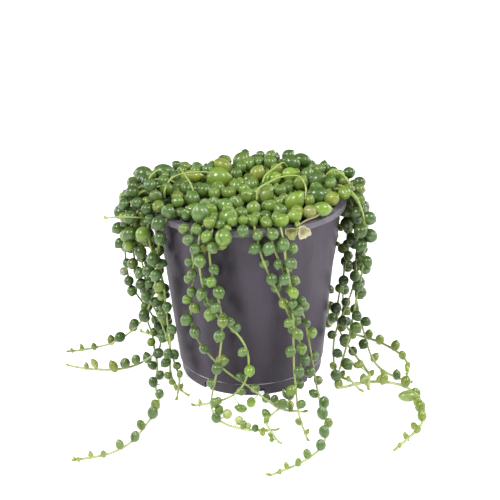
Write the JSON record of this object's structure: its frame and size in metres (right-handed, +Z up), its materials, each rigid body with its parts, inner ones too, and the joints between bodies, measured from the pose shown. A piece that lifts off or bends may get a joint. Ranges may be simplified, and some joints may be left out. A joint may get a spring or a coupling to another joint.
{
  "type": "potted string of pearls plant",
  "caption": "String of pearls plant in a round plastic nursery pot: trailing stems of bead-like leaves hang over the rim and lie on the surface round it.",
  "frame": {"origin": "centre of the pot's underside, on the surface it stands on", "axes": "+Z up along the pot's axis, -Y to the front, +X to the right as seen from the front"},
  "size_m": [0.225, 0.2341, 0.1286],
  "materials": {
    "pot_plastic": "satin moulded plastic, dark grey-purple",
    "peat": "dull, crumbly potting peat",
    "leaf": "smooth, waxy succulent leaf"
  },
  "bodies": {
    "root": {"crown": "leaf", "pot": "pot_plastic", "soil": "peat", "trailing_stem_01": "leaf", "trailing_stem_02": "leaf", "trailing_stem_03": "leaf", "trailing_stem_04": "leaf", "trailing_stem_05": "leaf", "trailing_stem_06": "leaf", "trailing_stem_07": "leaf", "trailing_stem_08": "leaf", "trailing_stem_09": "leaf", "trailing_stem_10": "leaf", "trailing_stem_11": "leaf", "trailing_stem_12": "leaf", "trailing_stem_13": "leaf", "trailing_stem_14": "leaf", "trailing_stem_15": "leaf", "trailing_stem_16": "leaf", "trailing_stem_17": "leaf", "trailing_stem_18": "leaf", "trailing_stem_19": "leaf", "trailing_stem_20": "leaf", "trailing_stem_21": "leaf", "trailing_stem_22": "leaf", "trailing_stem_23": "leaf", "trailing_stem_24": "leaf", "trailing_stem_25": "leaf", "trailing_stem_26": "leaf", "trailing_stem_27": "leaf"}
  },
  "joints": []
}
